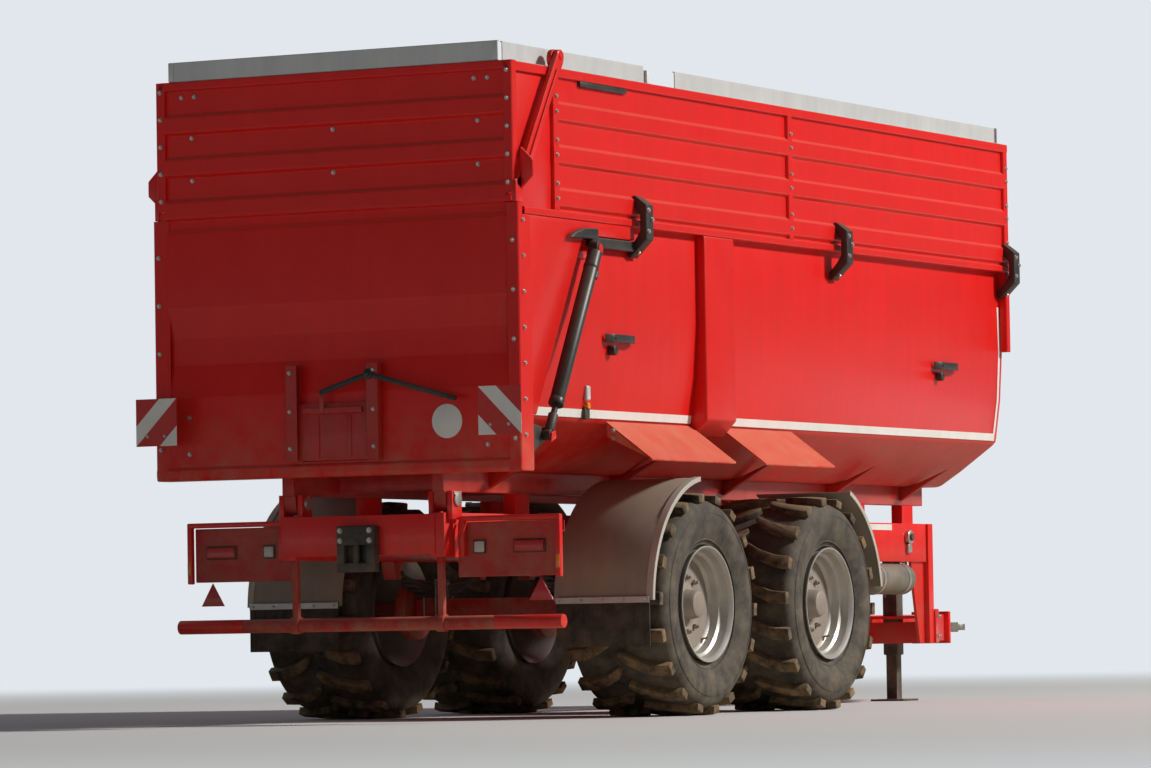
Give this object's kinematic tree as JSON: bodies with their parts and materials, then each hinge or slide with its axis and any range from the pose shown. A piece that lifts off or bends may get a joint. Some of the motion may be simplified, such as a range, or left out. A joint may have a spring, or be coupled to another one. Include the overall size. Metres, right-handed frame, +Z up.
{
  "type": "tipping trailer",
  "caption": "Tandem-axle farm tipping trailer with a half-pipe body, ribbed high extension, top-hung tailgate with grain chute, and a telescopic tipping cylinder.",
  "frame": {"origin": "on the ground under the middle of the trailer's length and width", "axes": "+X forward to the drawbar eye, +Y to the left, +Z up"},
  "size_m": [9.24, 2.86, 4],
  "materials": {
    "body_paint": "gloss red paint, dusty low down",
    "chassis_paint": "red paint with dust and wear",
    "grey_trim": "pale grey tarpaulin strip",
    "black_steel": "black painted steel",
    "bare_steel": "worn forged steel",
    "chrome_rod": "chromed rod",
    "fender_sheet": "grey mudguard under dust",
    "flap_rubber": "black rubber flap",
    "tyre_rubber": "black tyre rubber under dry field dust",
    "rim_silver": "silver painted wheel",
    "tank_grey": "grey painted air tank",
    "board_sheet": "white and red retroreflective sheet",
    "lamp_lens": "red lamp lens"
  },
  "bodies": {
    "chassis": {"air_tanks": "tank_grey", "axle_front": "black_steel", "axle_rear": "black_steel", "chassis_frame": "chassis_paint", "drawbar": "chassis_paint", "front_fenders": "fender_sheet", "hitch_eye": "bare_steel", "leaf_springs": "black_steel", "light_boards": "chassis_paint", "light_guards": "chassis_paint", "mud_flaps": "flap_rubber", "rear_coupling": "black_steel", "rear_fenders": "fender_sheet", "rear_lamps": "lamp_lens", "rear_reflectors": "lamp_lens", "spring_hangers": "chassis_paint", "support_jack": "bare_steel", "underride_bumper": "chassis_paint"},
    "bed": {"bed_floor": "body_paint", "bed_front_wall": "body_paint", "bed_outriggers": "body_paint", "bed_side_left": "body_paint", "bed_side_right": "body_paint", "bed_sub_frame": "body_paint", "extension_brackets": "black_steel", "front_extension": "body_paint", "gate_cylinder_anchors": "black_steel", "side_extension_left": "body_paint", "side_extension_right": "body_paint", "top_strips": "grey_trim", "wheel_deflectors": "body_paint"},
    "tailgate": {"chute_guides": "body_paint", "marker_boards": "board_sheet", "speed_disc": "board_sheet", "tailgate_arm_left": "body_paint", "tailgate_arm_right": "body_paint", "tailgate_extension": "body_paint", "tailgate_lugs": "black_steel", "tailgate_panel": "body_paint", "tailgate_strip": "grey_trim"},
    "chute_gate": {"chute_gate": "body_paint"},
    "chute_lever": {"chute_lever": "black_steel"},
    "tip_barrel": {"tip_cylinder_barrel": "black_steel"},
    "tip_stage_1": {"tip_cylinder_stage_1": "chrome_rod"},
    "tip_stage_2": {"tip_cylinder_stage_2": "chrome_rod"},
    "tip_stage_3": {"tip_cylinder_stage_3": "chrome_rod"},
    "tip_stage_4": {"tip_cylinder_stage_4": "chrome_rod"},
    "tip_stage_5": {"tip_cylinder_stage_5": "chrome_rod"},
    "gate_barrel_right": {"gate_cylinder_barrel_right": "black_steel"},
    "gate_rod_right": {"gate_cylinder_rod_right": "chrome_rod"},
    "wheel_rear_right": {"tyre_rear_right": "tyre_rubber", "rim_rear_right": "rim_silver"},
    "wheel_front_right": {"tyre_front_right": "tyre_rubber", "rim_front_right": "rim_silver"},
    "gate_barrel_left": {"gate_cylinder_barrel_left": "black_steel"},
    "gate_rod_left": {"gate_cylinder_rod_left": "chrome_rod"},
    "wheel_rear_left": {"tyre_rear_left": "tyre_rubber", "rim_rear_left": "rim_silver"},
    "wheel_front_left": {"tyre_front_left": "tyre_rubber", "rim_front_left": "rim_silver"}
  },
  "joints": [
    {"name": "bed_tip", "type": "hinge", "parent": "chassis", "child": "bed", "pos_m": [-4.1, 0, 1.325], "axis": [0, -1, 0], "range_deg": [0, 50]},
    {"name": "tailgate_open", "type": "hinge", "parent": "bed", "child": "tailgate", "pos_m": [-3.903, 0, 3.94], "axis": [0, 1, 0], "range_deg": [0, 50]},
    {"name": "chute_slide", "type": "slide", "parent": "tailgate", "child": "chute_gate", "axis": [0, 0, 1], "range_m": [0, 0.2]},
    {"name": "chute_lever_swing", "type": "hinge", "parent": "tailgate", "child": "chute_lever", "pos_m": [-4.556, -0.257, 2.068], "axis": [1, 0, 0], "range_deg": [0, 33]},
    {"name": "tip_cylinder_lean", "type": "hinge", "parent": "chassis", "child": "tip_barrel", "pos_m": [0.79, 0, 1.215], "axis": [0, -1, 0], "range_deg": [0, 25]},
    {"name": "tip_stage_1_slide", "type": "slide", "parent": "tip_barrel", "child": "tip_stage_1", "axis": [0, 0, 1], "range_m": [0, 0.82252]},
    {"name": "tip_stage_2_slide", "type": "slide", "parent": "tip_stage_1", "child": "tip_stage_2", "axis": [0, 0, 1], "range_m": [0, 0.82252]},
    {"name": "tip_stage_3_slide", "type": "slide", "parent": "tip_stage_2", "child": "tip_stage_3", "axis": [0, 0, 1], "range_m": [0, 0.82252]},
    {"name": "tip_stage_4_slide", "type": "slide", "parent": "tip_stage_3", "child": "tip_stage_4", "axis": [0, 0, 1], "range_m": [0, 0.82252]},
    {"name": "tip_stage_5_slide", "type": "slide", "parent": "tip_stage_4", "child": "tip_stage_5", "axis": [0, 0, 1], "range_m": [0, 0.82252]},
    {"name": "gate_cylinder_swing_right", "type": "hinge", "parent": "bed", "child": "gate_barrel_right", "pos_m": [-3.501, -1.245, 2.822], "axis": [0, 1, 0], "range_deg": [0, 56.59]},
    {"name": "gate_cylinder_slide_right", "type": "slide", "parent": "gate_barrel_right", "child": "gate_rod_right", "axis": [-0.5004, 0, -0.8658], "range_m": [0, 0.98424]},
    {"name": "wheel_rear_right_spin", "type": "hinge", "parent": "chassis", "child": "wheel_rear_right", "pos_m": [-2.38, -1.075, 0.683], "axis": [0, 1, 0], "continuous": true},
    {"name": "wheel_front_right_spin", "type": "hinge", "parent": "chassis", "child": "wheel_front_right", "pos_m": [-0.61, -1.075, 0.683], "axis": [0, 1, 0], "continuous": true},
    {"name": "gate_cylinder_swing_left", "type": "hinge", "parent": "bed", "child": "gate_barrel_left", "pos_m": [-3.501, 1.245, 2.822], "axis": [0, 1, 0], "range_deg": [0, 56.59]},
    {"name": "gate_cylinder_slide_left", "type": "slide", "parent": "gate_barrel_left", "child": "gate_rod_left", "axis": [-0.5004, 0, -0.8658], "range_m": [0, 0.98424]},
    {"name": "wheel_rear_left_spin", "type": "hinge", "parent": "chassis", "child": "wheel_rear_left", "pos_m": [-2.38, 1.075, 0.683], "axis": [0, 1, 0], "continuous": true},
    {"name": "wheel_front_left_spin", "type": "hinge", "parent": "chassis", "child": "wheel_front_left", "pos_m": [-0.61, 1.075, 0.683], "axis": [0, 1, 0], "continuous": true}
  ],
  "couplings": [
    {"joint": "tip_cylinder_lean", "follows": "bed_tip", "ratio": 0.5},
    {"joint": "tip_stage_1_slide", "follows": "bed_tip", "m_per_rad": 0.94253},
    {"joint": "tip_stage_2_slide", "follows": "bed_tip", "m_per_rad": 0.94253},
    {"joint": "tip_stage_3_slide", "follows": "bed_tip", "m_per_rad": 0.94253},
    {"joint": "tip_stage_4_slide", "follows": "bed_tip", "m_per_rad": 0.94253},
    {"joint": "tip_stage_5_slide", "follows": "bed_tip", "m_per_rad": 0.94253},
    {"joint": "gate_cylinder_swing_right", "follows": "tailgate_open", "ratio": 1.1317},
    {"joint": "gate_cylinder_slide_right", "follows": "tailgate_open", "m_per_rad": 1.1278},
    {"joint": "gate_cylinder_swing_left", "follows": "tailgate_open", "ratio": 1.1317},
    {"joint": "gate_cylinder_slide_left", "follows": "tailgate_open", "m_per_rad": 1.1278},
    {"joint": "chute_lever_swing", "follows": "chute_slide", "rad_per_m": 2.8795}
  ]
}
